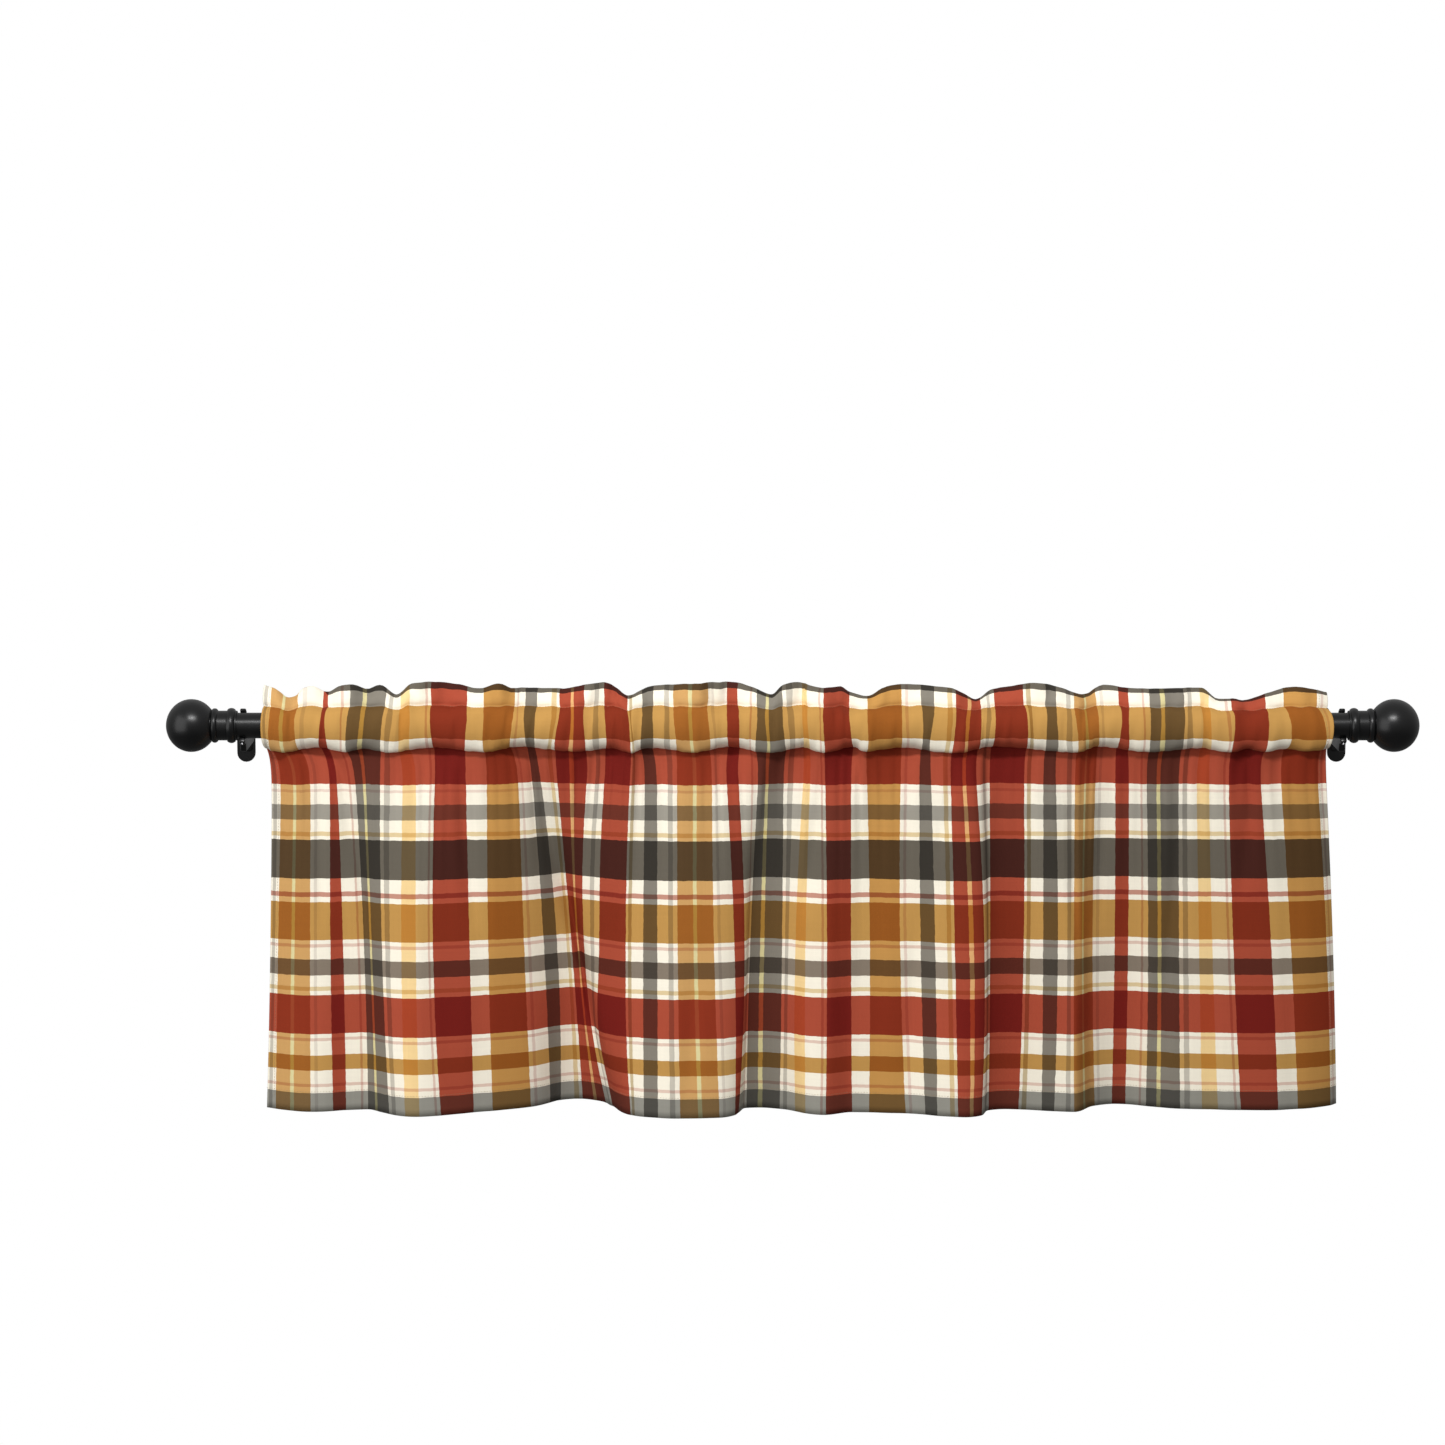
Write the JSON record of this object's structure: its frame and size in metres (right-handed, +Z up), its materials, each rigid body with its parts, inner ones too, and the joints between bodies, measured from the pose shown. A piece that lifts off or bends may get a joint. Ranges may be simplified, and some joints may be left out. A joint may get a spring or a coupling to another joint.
{
  "type": "window valance on a curtain rod",
  "caption": "Gathered plaid window valance with a ruffled header and rod pocket, hung on a round curtain rod with ball finials and wall brackets.",
  "frame": {"origin": "on the wall's surface, level with the rod's axis and midway between the two finials", "axes": "+X along the rod to the right as seen from the room, +Y into the wall so that the room is towards -Y, +Z up"},
  "size_m": [1.3536, 0.1305, 0.4739],
  "materials": {
    "plaid_cloth": "light plain-woven cotton, printed plaid of rust red, gold, grey and cream",
    "black_metal": "satin black enamel",
    "screw_steel": "plain steel"
  },
  "bodies": {
    "root": {"valance_cloth": "plaid_cloth", "rod": "black_metal", "finial_ball_left": "black_metal", "finial_ball_right": "black_metal", "finial_collar_left": "black_metal", "finial_collar_right": "black_metal", "bracket_left": "black_metal", "bracket_right": "black_metal", "set_screw_left": "screw_steel", "set_screw_right": "screw_steel", "wall_screw_left": "black_metal", "wall_screw_right": "black_metal"}
  },
  "joints": []
}
